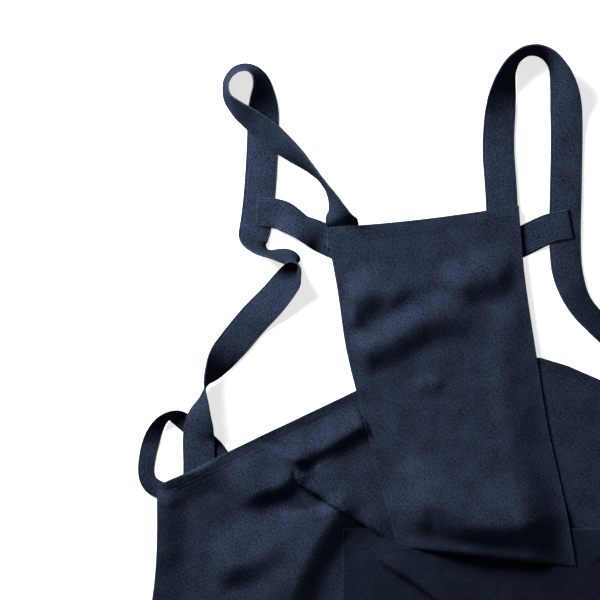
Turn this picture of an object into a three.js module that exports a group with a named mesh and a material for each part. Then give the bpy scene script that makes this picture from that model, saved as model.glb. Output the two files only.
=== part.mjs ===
// An artist's smock apron, laid out on a table with its bib drawn down over the back wings.
// Millimetres: X runs across the apron, Y up the bib and Z up from the table. The origin is on the
// table, on the skirt's centre line, under the fold at the waist.
import * as THREE from "three";

// Driving dimensions.
const CLOTH = 1.2; // a layer of twill with the ease between it and its seam allowance
const FACING = 0.8; // a facing strip
const THREAD = { width: 0.8, thickness: 0.4, clear: 0.9 };
const GAP = 0.4; // clearance between two layers
const HEM = 15; // depth of the turned and faced edges
const STRAP = { width: 40, thickness: 2.4 }; // four layers, edge stitched
const CROSSPIECE = { width: 36, thickness: 1.8 };
const TIE = { width: 22, thickness: 1.2 };
const POCKET = { width: 392, height: 210, top: 27 };
const WING_TIP = { x: 427.5, y: 81 }; // the upper back corner of each wing
const WING_FOLD_X = 250; // each wing folds about a line this far from the centre
const HEM_Y = -530; // the hem on the centre line
const HEM_RISE = 25; // how much higher the hem is at the back edges
const BACK_FLARE = 62; // how far the back edge runs outwards from tip to hem
const SPLIT = 0.3; // half the gap between solids that meet end to end
const UNDER_BIB_Y = 240; // where the skirt ends under the bib

// Heights of the underside of each layer.
const FACED_LIFT = FACING + GAP; // a faced edge stands on its facing
const ENDS_LIFT = 6; // the wing's edge above a tie, a strap's end and the facing
const STRAP_END_LIFT = 2;
const BIB_LIFT = 6.6;
const BIB_CROWN = 9; // how much higher the bib stands at the waist fold
const ON_TABLE = 0.4;

const navy = { roughness: 0.88, metalness: 0 };
const twill = new THREE.MeshStandardMaterial({ color: 0x303d53, ...navy });
const webbing = new THREE.MeshStandardMaterial({ color: 0x2c3850, ...navy });
const facingCloth = new THREE.MeshStandardMaterial({ color: 0x2a3549, ...navy });
const sewing = new THREE.MeshStandardMaterial({ color: 0x3d4c66, roughness: 0.7, metalness: 0 });

const apron = new THREE.Group();
const { lerp, smoothstep, degToRad, clamp } = THREE.MathUtils;

// A unit box whose corners run 0 to 1 is bent so that (u, v, w) lands at place(u, v, w).
function bentBox(name, material, [across, along], place) {
  const box = new THREE.BoxGeometry(1, 1, 1, across, along, 1);
  const corners = box.getAttribute("position");
  for (let i = 0; i < corners.count; i += 1) {
    const share = [corners.getX(i), corners.getY(i), corners.getZ(i)].map((c) => c + 0.5);
    corners.setXYZ(i, ...place(...share));
  }
  box.computeVertexNormals();
  const mesh = new THREE.Mesh(box, material);
  mesh.name = name;
  apron.add(mesh);
}

// A layer of cloth over the plan point plan(u, v), its underside at height under(x, y).
function sheet(name, material, { cells, plan, under, thickness = CLOTH }) {
  bentBox(name, material, cells, (u, v, w) => {
    const [x, y] = plan(u, v);
    return [x, y, under(x, y) + w * thickness];
  });
}

// A band along stations [x, y, tilt, lift]: its centre line on the table, the angle in degrees by
// which its right-hand edge stands above its left-hand one, and the height of its lowest edge.
// It runs from one station number to another, which need not be whole.
function band(name, material, { size, stations, from = 0, to = stations.length - 1, steps = 3 }) {
  const line = new THREE.CatmullRomCurve3(stations.map(([x, y]) => new THREE.Vector3(x, y, 0)));
  const last = stations.length - 1;
  const between = (number, column) => {
    const before = clamp(Math.floor(number), 0, last - 1);
    return lerp(stations[before][column], stations[before + 1][column], number - before);
  };
  const along = Math.ceil((to - from) * steps);
  bentBox(name, material, [4, along], (u, v, w) => {
    const number = lerp(from, to, v);
    const centre = line.getPoint(number / last);
    const heading = line.getTangent(number / last);
    const tilt = degToRad(between(number, 2));
    const side = new THREE.Vector3(heading.y, -heading.x, 0).multiplyScalar(Math.cos(tilt));
    side.z = Math.sin(tilt);
    const face = new THREE.Vector3().crossVectors(side, heading);
    const [rise, run] = [Math.abs(Math.sin(tilt)), Math.abs(Math.cos(tilt))];
    const reach = (size.width * rise + size.thickness * run) / 2;
    centre.z = between(number, 3) + reach;
    centre.addScaledVector(side, (u - 0.5) * size.width);
    centre.addScaledVector(face, (w - 0.5) * size.thickness);
    return centre.toArray();
  });
}

// A row of thread along plan points, standing just clear of the cloth whose top is at over(x, y).
function threadRow(name, points, over) {
  const line = new THREE.CatmullRomCurve3(points.map(([x, y]) => new THREE.Vector3(x, y, 0)));
  line.curveType = "catmullrom";
  line.tension = 0; // straight from point to point
  bentBox(name, sewing, [1, points.length * 4], (u, v, w) => {
    const at = line.getPoint(v);
    const heading = line.getTangent(v);
    const offset = (u - 0.5) * THREAD.width;
    const [x, y] = [at.x + heading.y * offset, at.y - heading.x * offset];
    return [x, y, over(x, y) + THREAD.clear + w * THREAD.thickness];
  });
}

const curve = (points) => {
  const line = new THREE.CatmullRomCurve3(points.map(([x, y]) => new THREE.Vector3(x, y, 0)));
  return (share) => line.getPoint(share);
};

// The smock's lower half. Its upper edge climbs from the wing tips to pass under the bib.
const LEFT_SLOPE = 0.476;
const RIGHT_SLOPE = -0.433;
const upperEdge = (x) =>
  Math.min(
    UNDER_BIB_Y,
    WING_TIP.y + LEFT_SLOPE * (x + WING_TIP.x),
    WING_TIP.y + RIGHT_SLOPE * (x - WING_TIP.x),
  );
const hemEdge = (x) => HEM_Y + HEM_RISE * (x / (WING_TIP.x + BACK_FLARE)) ** 2;

// A wing's edge stands on its facing, and higher where a strap and a tie run in under it.
const STRAP_ENDS_X = 376;
function clothLift(x, y) {
  const inset = upperEdge(x) - y;
  const faced = FACED_LIFT * (1 - smoothstep(inset, 25, 60));
  const overEnds = 1 - smoothstep(Math.abs(Math.abs(x) - STRAP_ENDS_X), 55, 85);
  const ends = (ENDS_LIFT - FACED_LIFT) * overEnds * (1 - smoothstep(inset, 50, 110));
  return faced + ends;
}
const clothTop = (x, y) => clothLift(x, y) + CLOTH;

function skirtPanel() {
  const reach = WING_FOLD_X - SPLIT;
  const plan = (u, v) => {
    const x = lerp(-reach, reach, u);
    return [x, lerp(hemEdge(x), upperEdge(x), v)];
  };
  sheet("skirt_panel", twill, { cells: [15, 22], plan, under: clothLift });
}

// side is -1 for the left wing and 1 for the right.
function wingPlan(side, u, v) {
  const inner = WING_FOLD_X + SPLIT;
  const hollow = 7 * Math.sin(Math.PI * clamp(v * 3 - 2, 0, 1));
  const outer = WING_TIP.x + BACK_FLARE * (1 - v) - hollow;
  const x = side * lerp(inner, outer, side < 0 ? 1 - u : u);
  return [x, lerp(hemEdge(x), upperEdge(x), v)];
}

function wing(name, side) {
  const plan = (u, v) => wingPlan(side, u, v);
  sheet(`${name}_wing_panel`, twill, { cells: [8, 22], plan, under: clothLift });
  const facingPlan = (u, v) => {
    const [x] = wingPlan(side, u, 1);
    return [x, upperEdge(x) - lerp(HEM, 0, v)];
  };
  const under = (x, y) => clothLift(x, y) - FACED_LIFT;
  const cells = [12, 2];
  sheet(`${name}_wing_facing`, facingCloth, { cells, plan: facingPlan, under, thickness: FACING });
  const ends = [WING_FOLD_X + 3, WING_TIP.x - 3].map((x) => x * side);
  const middle = (ends[0] + ends[1]) / 2;
  const row = [ends[0], middle, ends[1]].map((x) => [x, upperEdge(x) - HEM + 2]);
  threadRow(`${name}_wing_thread`, row, clothTop);
}

// The faced edge goes on across the fold line and in under the bib.
function skirtFacing(name, side) {
  const hiddenEnd = 70;
  const plan = (u, v) => {
    const x = side * lerp(hiddenEnd, WING_FOLD_X - SPLIT, side < 0 ? 1 - u : u);
    return [x, upperEdge(x) - lerp(HEM, 0, v)];
  };
  sheet(name, facingCloth, { cells: [8, 1], plan, under: () => 0, thickness: FACING });
}

function pocket() {
  const floor = CLOTH + GAP;
  const half = POCKET.width / 2;
  const bottom = POCKET.top - POCKET.height;
  const plan = (u, v) => [lerp(-half, half, u), lerp(bottom, POCKET.top, v)];
  sheet("kangaroo_pocket", twill, { cells: [8, 4], plan, under: () => floor });
  const over = () => floor + CLOTH;
  const seam = 4;
  const [edge, low, high] = [half - seam, bottom + seam, POCKET.top - seam];
  const corner = 6;
  const outline = [
    [-edge, high],
    [-edge, low + corner],
    [-edge + corner, low],
    [edge - corner, low],
    [edge, low + corner],
    [edge, high],
  ];
  threadRow("pocket_thread", outline, over);
  const divide = [
    [0, high - 32],
    [0, (low + high) / 2],
    [0, low + 4],
  ];
  threadRow("pocket_divider_thread", divide, over);
}

// The bib lies on the wings. Its sides lean together towards the waist fold.
const bibLeft = curve([[-217.5, 402], [-203, 325], [-192, 250], [-166, 148], [-146, 70], [-127, 4]]);
const bibRight = curve([[22.5, 430], [29, 350], [42, 260], [60, 150], [80, 60], [94, -20]]);
const BIB_DIP = 3; // how far the top edge sags between its corners

function bibPlan(u, v) {
  const at = bibLeft(1 - v).lerp(bibRight(1 - v), u);
  return [at.x, at.y - BIB_DIP * v * Math.sin(Math.PI * u)];
}
const bibLift = (x, y) => BIB_LIFT + BIB_CROWN * (1 - smoothstep(y, 20, 190));

function bib() {
  sheet("bib_panel", twill, { cells: [10, 20], plan: bibPlan, under: bibLift });
  const depth = HEM / 410;
  const underFacing = (x, y) => bibLift(x, y) - FACED_LIFT;
  const strip = (name, cells, plan) =>
    sheet(name, facingCloth, { cells, plan, under: underFacing, thickness: FACING });
  strip("bib_top_facing", [8, 1], (u, v) => bibPlan(u, lerp(1 - depth, 1, v)));
  const sideShare = HEM / 240;
  const [low, high] = [0.45, 1 - depth - 0.003];
  strip("bib_left_facing", [1, 8], (u, v) => bibPlan(u * sideShare, lerp(low, high, v)));
  strip("bib_right_facing", [1, 8], (u, v) => bibPlan(1 - sideShare + u * sideShare, lerp(low, high, v)));
  const hemRow = [0.02, 0.25, 0.5, 0.75, 0.98].map((u) => bibPlan(u, 1 - depth));
  threadRow("bib_hem_thread", hemRow, (x, y) => bibLift(x, y) + CLOTH);
}

// The slack at the waist doubles back under the bib, down onto the skirt.
function waistTuck() {
  const depth = 78;
  const fold = (u) => bibLeft(1).lerp(bibRight(1), lerp(0.03, 0.97, u));
  const plan = (u, v) => [fold(u).x, fold(u).y + 3 + v * depth];
  const lowest = CLOTH + GAP + CLOTH + GAP;
  const under = (x, y) => lowest + 7 * (1 - smoothstep(y, -15, 50));
  sheet("waist_tuck", twill, { cells: [8, 6], plan, under });
}

// Each strap goes up from the bib, turns over at the shoulder, comes down past the crosspiece and
// runs on to the wing. It stands on edge wherever it bends in plan. The left one folds over below the
// crosspiece and twists once more before it reaches the wing.
const LEFT_STRAP = [
  [-196, 376, 0, 2.6],
  [-197, 407, 0, 2.6],
  [-199, 413, 30, 2.4],
  [-202, 421, 55, 2],
  [-205.5, 431, 68, 1],
  [-210.5, 443, 79, 1],
  [-217.5, 454.5, 86, 1],
  [-228, 467.5, 85, 1],
  [-241, 480, 76, 2],
  [-258, 495, 58, 3.4],
  [-283, 515, 44, 3.4],
  [-308, 535, 50, 3.4],
  [-327, 549, 62, 3.4],
  [-338, 560, 76, 1],
  [-343, 575, 81, ON_TABLE],
  [-339.5, 590, 77, ON_TABLE],
  [-329, 600, 74, ON_TABLE],
  [-315, 602, 74, ON_TABLE],
  [-304, 596, 69, ON_TABLE],
  [-298, 584, 60, ON_TABLE],
  [-296.5, 568, 42, ON_TABLE],
  [-296, 552, 22, ON_TABLE],
  [-296, 536, 0, ON_TABLE],
  [-297, 500, 0, ON_TABLE],
  [-301, 440, 0, ON_TABLE],
  [-306, 401, 0, ON_TABLE],
  [-309, 388, 34, ON_TABLE],
  [-304, 378, 60, ON_TABLE],
  [-294, 371, 77, ON_TABLE],
  [-284, 368.5, 76, ON_TABLE],
  [-274, 367, 64, ON_TABLE],
  [-262.5, 365, 57, ON_TABLE],
  [-252, 357, 90, ON_TABLE],
  [-256, 350, 128, ON_TABLE],
  [-262.5, 341, 146, ON_TABLE],
  [-272, 328, 156, ON_TABLE],
  [-287, 310, 168, ON_TABLE],
  [-309, 287, 180, ON_TABLE],
  [-328, 264, 188, ON_TABLE],
  [-343, 246, 203, ON_TABLE],
  [-358, 225, 232, 1],
  [-365, 213, 259, STRAP_END_LIFT],
  [-368, 202, 272, STRAP_END_LIFT],
  [-369, 188, 288, STRAP_END_LIFT],
  [-373, 170, 316, 4.4],
  [-376.5, 140, 356, 3.4],
  [-376, 112, 360, STRAP_END_LIFT],
  [-376, 84, 360, STRAP_END_LIFT],
];
const LEFT_STRAP_SPLIT = [41.1, 41.75]; // where the front run ends and the back run starts

const RIGHT_STRAP = [
  [2, 400, 0, 2.6],
  [2, 428, 0, 2.6],
  [0.5, 458, 0, 1.5],
  [-2, 494, 0, ON_TABLE],
  [-2, 520, -4, ON_TABLE],
  [-0.5, 546, -12, ON_TABLE],
  [2, 571, -32, ON_TABLE],
  [8, 596, -58, ON_TABLE],
  [20, 615, -72, ON_TABLE],
  [38, 624, -78, ON_TABLE],
  [58, 618, -74, ON_TABLE],
  [72, 600, -62, ON_TABLE],
  [79, 576, -38, ON_TABLE],
  [82, 550, -12, ON_TABLE],
  [83, 515, 0, ON_TABLE],
  [82, 450, 0, ON_TABLE],
  [81, 385, 0, ON_TABLE],
  [84, 345, 12, ON_TABLE],
  [95, 312, 34, ON_TABLE],
  [120, 282, 40, ON_TABLE],
  [155, 258, 18, ON_TABLE],
  [200, 237, 0, ON_TABLE],
  [245, 218, 0, ON_TABLE],
  [290, 203, -8, ON_TABLE],
  [328, 192, -26, 1],
  [355, 172, -46, STRAP_END_LIFT],
  [370, 147, -26, STRAP_END_LIFT],
  [376, 118, 0, STRAP_END_LIFT],
  [377, 86, 0, STRAP_END_LIFT],
];
const RIGHT_STRAP_SPLIT = [24.35, 24.65];

function strap(name, stations, [frontEnd, backStart]) {
  const shared = { size: STRAP, stations };
  band(`${name}_strap_front_run`, webbing, { ...shared, to: frontEnd });
  band(`${name}_strap_back_run`, webbing, { ...shared, from: backStart });
}

// The crosspiece holds the straps together at the back. Each end is sewn on top of a strap.
function crosspiece() {
  const onStrap = ON_TABLE + STRAP.thickness + 2 * GAP;
  const stations = [
    [-305, 423, 0, onStrap],
    [-274, 420, 0, onStrap],
    [-261, 412, 20, 1.8],
    [-248, 404, 36, ON_TABLE],
    [-234, 397, 20, ON_TABLE],
    [-222, 391, 0, ON_TABLE],
    [-170, 368, 0, ON_TABLE],
    [-105, 352, 0, ON_TABLE],
    [-40, 358, 0, ON_TABLE],
    [25, 385, 0, ON_TABLE],
    [60, 402, 2, onStrap],
    [88, 408, 0, onStrap],
  ];
  band("crosspiece", webbing, { size: CROSSPIECE, stations });
  const over = () => onStrap + CROSSPIECE.thickness;
  const half = CROSSPIECE.width / 2 - 4;
  threadRow("crosspiece_left_thread", [[-299, 423 - half], [-299, 423], [-299, 423 + half]], over);
  threadRow("crosspiece_right_thread", [[81, 407 - half], [81, 407], [81, 407 + half]], over);
}

// A waist tie is sewn under each wing tip. The left one loops back in under its wing.
function ties() {
  const left = [
    [-409, 71, 0, ON_TABLE],
    [-427, 76, -4, ON_TABLE],
    [-438, 84, -22, ON_TABLE],
    [-442, 97, -26, ON_TABLE],
    [-441, 113, -16, ON_TABLE],
    [-437, 132, -10, ON_TABLE],
    [-430, 151, -36, ON_TABLE],
    [-420, 165, -58, ON_TABLE],
    [-410, 169, -58, ON_TABLE],
    [-403, 167, -26, ON_TABLE],
    [-394, 160, 0, ON_TABLE],
    [-374, 143, 0, ON_TABLE],
    [-357, 128, 0, ON_TABLE],
    [-343, 108, 0, ON_TABLE],
  ];
  band("left_waist_tie", webbing, { size: TIE, stations: left });
  const right = [
    [409, 70, 0, ON_TABLE],
    [430, 74, 0, ON_TABLE],
    [455, 80, -8, ON_TABLE],
    [477, 98, -28, ON_TABLE],
    [486, 126, -16, ON_TABLE],
    [478, 158, 18, ON_TABLE],
    [462, 190, 26, ON_TABLE],
    [455, 224, 6, ON_TABLE],
    [462, 258, -18, ON_TABLE],
    [478, 290, -10, ON_TABLE],
    [488, 324, 0, ON_TABLE],
    [490, 360, 0, ON_TABLE],
  ];
  band("right_waist_tie", webbing, { size: TIE, stations: right });
}

skirtPanel();
wing("left", -1);
wing("right", 1);
skirtFacing("left_armhole_facing", -1);
skirtFacing("right_armhole_facing", 1);
pocket();
waistTuck();
bib();
strap("left", LEFT_STRAP, LEFT_STRAP_SPLIT);
strap("right", RIGHT_STRAP, RIGHT_STRAP_SPLIT);
crosspiece();
ties();

export default apron;
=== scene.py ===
"""Artist smock apron: its cloth, straps, stitching and studio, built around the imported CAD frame.

Lengths are in metres in the row frame. X runs across the apron, Y up the bib and Z up from the table.
Fold tables are in millimetres, measured from the lower left corner of the bib unless a note says so.
"""

import math

import bpy
import numpy as np
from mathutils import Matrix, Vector
from mathutils.bvhtree import BVHTree


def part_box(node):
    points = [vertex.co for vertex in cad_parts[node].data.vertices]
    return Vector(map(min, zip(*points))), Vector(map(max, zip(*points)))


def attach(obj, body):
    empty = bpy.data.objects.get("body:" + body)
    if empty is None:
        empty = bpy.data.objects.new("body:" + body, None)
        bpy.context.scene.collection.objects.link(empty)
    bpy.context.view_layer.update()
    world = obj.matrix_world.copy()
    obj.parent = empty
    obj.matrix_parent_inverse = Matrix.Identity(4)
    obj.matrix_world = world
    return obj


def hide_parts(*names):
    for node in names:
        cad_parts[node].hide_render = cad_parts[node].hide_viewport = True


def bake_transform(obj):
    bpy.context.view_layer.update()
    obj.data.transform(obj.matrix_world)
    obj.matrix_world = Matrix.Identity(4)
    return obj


MM = 0.001
CLOTH = 0.9 * MM  # one layer of twill
STITCH_INSET = 13.2 * MM  # how far in from a faced edge its stitches run
FACING_DEPTH = 17.5 * MM  # how far in from a faced edge its second layer ends
STRAP_STITCH_INSET = 2.6 * MM
THREAD_LIFT = 0.12 * MM  # how far a stitch's middle stands off the cloth
CLEAR = 0.05 * MM  # the least height of the cloth's underside

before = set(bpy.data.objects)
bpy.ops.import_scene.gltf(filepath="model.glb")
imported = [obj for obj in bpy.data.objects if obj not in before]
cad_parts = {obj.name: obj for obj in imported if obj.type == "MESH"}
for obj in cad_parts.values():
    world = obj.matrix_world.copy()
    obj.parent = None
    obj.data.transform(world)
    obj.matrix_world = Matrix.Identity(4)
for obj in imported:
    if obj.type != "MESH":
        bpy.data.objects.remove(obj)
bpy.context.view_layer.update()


# ---- numbers


def smooth(t):
    """0 to 1 with level ends."""
    t = np.clip(t, 0, 1)
    return t * t * (3 - 2 * t)


def soft_max(a, b, blend):
    return (a + b + np.sqrt((a - b) ** 2 + blend**2)) / 2


def unit(v):
    return v / np.maximum(np.linalg.norm(v, axis=-1, keepdims=True), 1e-12)


def bell(distance, width):
    """1 at no distance, falling away on both sides."""
    return np.exp(-((distance / width) ** 2))


def bell_kernel(sigma):
    """Weights that blur a row of samples, and how many samples they reach to each side."""
    reach = int(3 * sigma) + 1
    kernel = np.exp(-0.5 * (np.arange(-reach, reach + 1) / sigma) ** 2)
    return kernel / kernel.sum(), reach


def box_blur(z, reach):
    """Each grid point's mean over its neighbours up to `reach` away."""
    size = 2 * reach + 1
    for axis in (0, 1):
        padded = np.pad(z, [(reach, reach) if a == axis else (0, 0) for a in (0, 1)], "edge")
        sums = np.cumsum(np.insert(padded, 0, 0, axis), axis)
        upper = np.take(sums, np.arange(size, sums.shape[axis]), axis)
        z = (upper - np.take(sums, np.arange(upper.shape[axis]), axis)) / size
    return z


def travelled(points):
    """The distance to each point of a line, along the line."""
    return np.concatenate([[0], np.cumsum(np.linalg.norm(np.diff(points, axis=0), axis=1))])


def read_off(at, positions, values):
    """Rows of values that are known at some positions, at others."""
    return np.stack([np.interp(at, positions, values[:, k]) for k in range(values.shape[1])], -1)


def steps(*runs):
    """Numbers that start at the first run's start; each run is (end, step)."""
    out = [runs[0]]
    for end, step in runs[1:]:
        count = max(1, int(round((end - out[-1]) / step)))
        out += list(np.linspace(out[-1], end, count + 1)[1:])
    return np.array(out)


PERIOD = 64


def gradient_noise(x, y, seed):
    """Perlin noise of unit cell size, about -0.7 to 0.7."""
    turns = np.random.default_rng(seed).random((PERIOD, PERIOD)) * 2 * math.pi
    xi, yi = np.floor(x).astype(int), np.floor(y).astype(int)
    xf, yf = x - xi, y - yi

    def corner(i, j):
        turn = turns[(xi + i) % PERIOD, (yi + j) % PERIOD]
        return np.cos(turn) * (xf - i) + np.sin(turn) * (yf - j)

    u, v = smooth(xf), smooth(yf)
    low = corner(0, 0) * (1 - u) + corner(1, 0) * u
    high = corner(0, 1) * (1 - u) + corner(1, 1) * u
    return low * (1 - v) + high * v


def crumple(x, y, size, seed, stretch=1.0, turn=0.0):
    """Crease lines of about unit height: sharp crests with soft hollows between them."""
    c, s = math.cos(turn), math.sin(turn)
    along, across = (x * c + y * s) / (size * stretch), (y * c - x * s) / size
    warp = 0.55 * gradient_noise(along * 0.8 + 7, across * 0.8, seed + 1)
    n = gradient_noise(along + warp, across - warp, seed)
    return 1 - 2 * np.sqrt(n * n + 0.006)


# ---- reading the frame


def welded(name):
    """A CAD node's vertices, each once, and its faces."""
    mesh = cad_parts[name].data
    co = np.array([v.co for v in mesh.vertices], float)
    _, first, index = np.unique(np.round(co * 1e6), axis=0, return_index=True, return_inverse=True)
    index = index.ravel()
    return co[first], [[int(index[v]) for v in p.vertices] for p in mesh.polygons]


def face_normals(co, faces):
    tri = co[np.array([f[:3] for f in faces])]
    return unit(np.cross(tri[:, 1] - tri[:, 0], tri[:, 2] - tri[:, 0]))


def outline(name):
    """The four edges of a CAD sheet seen from above, as dense plan points: left and right edges from
    the bottom up, top and bottom edges from left to right."""
    co, faces = welded(name)
    up = face_normals(co, faces)[:, 2] > 0.5
    edges = set()
    for face, is_up in zip(faces, up):
        if is_up:
            edges.update(zip(face, face[1:] + face[:1]))
    follow = {a: b for a, b in edges if (b, a) not in edges}
    start = next(iter(follow))
    loop = [start]
    while follow[loop[-1]] != start:
        loop.append(follow[loop[-1]])
    plan = co[loop][:, :2]
    extreme = [int(np.argmax(plan @ np.array(way))) for way in ((-1, -1), (1, -1), (1, 1), (-1, 1))]

    def run(a, b):
        count = (b - a) % len(loop)
        return plan[[(a + k) % len(loop) for k in range(count + 1)]]

    sw, se, ne, nw = extreme
    return {"bottom": run(sw, se), "right": run(se, ne), "top": run(ne, nw)[::-1], "left": run(nw, sw)[::-1]}


def along(points, share):
    """Points at the given shares of the way through a run of equally numbered points."""
    return read_off(np.clip(share, 0, 1) * (len(points) - 1), np.arange(len(points)), points)


class Heights:
    """The top of some CAD sheets, sampled on a raster and softened, so that their facets don't show."""

    CELL = 5 * MM
    BLUR = 9 * MM
    MARGIN = 30 * MM

    def __init__(self, names):
        co, faces = [], []
        for name in names:
            node_co, node_faces = welded(name)
            faces += [[i + len(co) for i in f] for f in node_faces]
            co += [Vector(p) for p in node_co]
        tree = BVHTree.FromPolygons(co, faces)
        low, high = np.min(co, 0) - self.MARGIN, np.max(co, 0) + self.MARGIN
        self.low = low
        self.count = np.ceil((high - low)[:2] / self.CELL).astype(int) + 1
        raster = np.zeros(self.count)
        for i in range(self.count[0]):
            for j in range(self.count[1]):
                x, y = low[0] + i * self.CELL, low[1] + j * self.CELL
                hit = tree.ray_cast(Vector((x, y, 1)), Vector((0, 0, -1)))[0]
                if hit is None:
                    hit = tree.find_nearest(Vector((x, y, high[2])))[0]
                raster[i, j] = hit[2]
        self.raster = self._blurred(raster)

    def _blurred(self, raster):
        kernel, reach = bell_kernel(self.BLUR / self.CELL)
        for axis in (0, 1):
            padded = np.pad(raster, [(reach, reach) if a == axis else (0, 0) for a in (0, 1)], "edge")
            raster = np.apply_along_axis(lambda row: np.convolve(row, kernel, "valid"), axis, padded)
        return raster

    def __call__(self, x, y):
        gx = np.clip((x - self.low[0]) / self.CELL, 0, self.count[0] - 1.001)
        gy = np.clip((y - self.low[1]) / self.CELL, 0, self.count[1] - 1.001)
        i, j = gx.astype(int), gy.astype(int)
        u, v = gx - i, gy - j
        r = self.raster
        low = r[i, j] * (1 - u) + r[i + 1, j] * u
        high = r[i, j + 1] * (1 - u) + r[i + 1, j + 1] * u
        return low * (1 - v) + high * v


# ---- folds


def rounded_line(points, times=2):
    """Corner cutting, with the ends kept."""
    line = np.array(points, float)
    for _ in range(times):
        cut = np.empty((2 * (len(line) - 1), 2))
        cut[0::2] = line[:-1] * 0.75 + line[1:] * 0.25
        cut[1::2] = line[:-1] * 0.25 + line[1:] * 0.75
        line = np.vstack([line[:1], cut, line[-1:]])
    return line


class Fold:
    """A crest along a line. It falls away over `left` on the left of travel and over `right` on the
    right, the more roundly the greater `round` is. Its lip leans over the steeper side by `lean`.
    `ends` are the shares of the line over which it rises at its start and dies at its end."""

    def __init__(self, points, height, left, right, lean=0.0, round=2.0, ends=(0.3, 0.3)):
        self.points = points
        self.height, self.left, self.right, self.lean = (v * MM for v in (height, left, right, lean))
        self.round, self.ends = round, ends

    def __call__(self, anchor, x, y):
        line = rounded_line(self.points) * MM + anchor
        before = travelled(line)
        best = np.full(x.shape, 1e9)
        side, share = np.zeros(x.shape), np.zeros(x.shape)
        normal = np.zeros(x.shape + (2,))
        for a, b, start, length in zip(line[:-1], line[1:], before, np.diff(before)):
            way = (b - a) / length
            t = np.clip((x - a[0]) * way[0] + (y - a[1]) * way[1], 0, length)
            dx, dy = x - a[0] - t * way[0], y - a[1] - t * way[1]
            distance = np.hypot(dx, dy)
            nearer = distance < best
            best = np.where(nearer, distance, best)
            side = np.where(nearer, way[0] * dy - way[1] * dx, side)
            share = np.where(nearer, (start + t) / before[-1], share)
            normal = np.where(nearer[..., None], np.array([-way[1], way[0]]), normal)
        width = np.where(side > 0, self.left, self.right)
        t = np.clip(best / width, 0, 1)
        profile = (1 - t) ** 2 * (1 + self.round * t)
        taper = smooth(share / self.ends[0]) * smooth((1 - share) / self.ends[1])
        rise = self.height * profile * taper
        towards = -np.sign(self.left - self.right) if self.lean else 0
        near = np.clip(1 - best / (min(self.left, self.right) * 3), 0, 1) ** 2
        push = self.lean * towards * near * taper
        return rise, normal[..., 0] * push, normal[..., 1] * push


def fold_all(folds, anchor, x, y):
    total = [np.zeros(x.shape) for _ in range(3)]
    for fold in folds:
        for sum_, part in zip(total, fold(anchor, x, y)):
            sum_ += part
    return total  # rise, shift in x, shift in y


# ---- meshes


def mesh_object(name, co, faces, uv, materials, face_material=None, wear_and_highlight=None, sharp=()):
    mesh = bpy.data.meshes.new(name)
    mesh.from_pydata(co.tolist(), [], faces)
    loops = np.zeros(len(mesh.loops), int)
    mesh.loops.foreach_get("vertex_index", loops)
    mesh.uv_layers.new(name="cloth").data.foreach_set("uv", uv[loops].astype(np.float32).ravel())
    # Per-vertex paleness: partly real wear, partly painted highlight.
    if wear_and_highlight is not None:
        mesh.attributes.new("wear_and_highlight", "FLOAT", "POINT").data.foreach_set("value", wear_and_highlight.astype(np.float32))
    for material in materials:
        mesh.materials.append(material)
    if face_material is not None:
        mesh.polygons.foreach_set("material_index", np.asarray(face_material, np.int32))
    mesh.polygons.foreach_set("use_smooth", np.ones(len(mesh.polygons), bool))
    mesh.update()
    if sharp:
        marks = set(map(frozenset, sharp))
        mesh.attributes.new("sharp_edge", "BOOLEAN", "EDGE").data.foreach_set(
            "value", np.array([frozenset(e.vertices) in marks for e in mesh.edges])
        )
    obj = bpy.data.objects.new(name, mesh)
    bpy.context.scene.collection.objects.link(obj)
    return obj


def riding(body):
    return lambda obj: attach(obj, body)


def placed(obj, place, slot, *nodes):
    """Puts a piece on its body or bodies with place(), and hides the CAD nodes it stands for."""
    place(obj)
    if nodes:
        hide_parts(*nodes)


def grid_normals(top):
    down = np.gradient(top, axis=0)
    right = np.gradient(top, axis=1)
    return unit(np.cross(right, down))


RIM_BULGE = 0.42  # how far a rim stands out, as a share of the cloth's thickness


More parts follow.
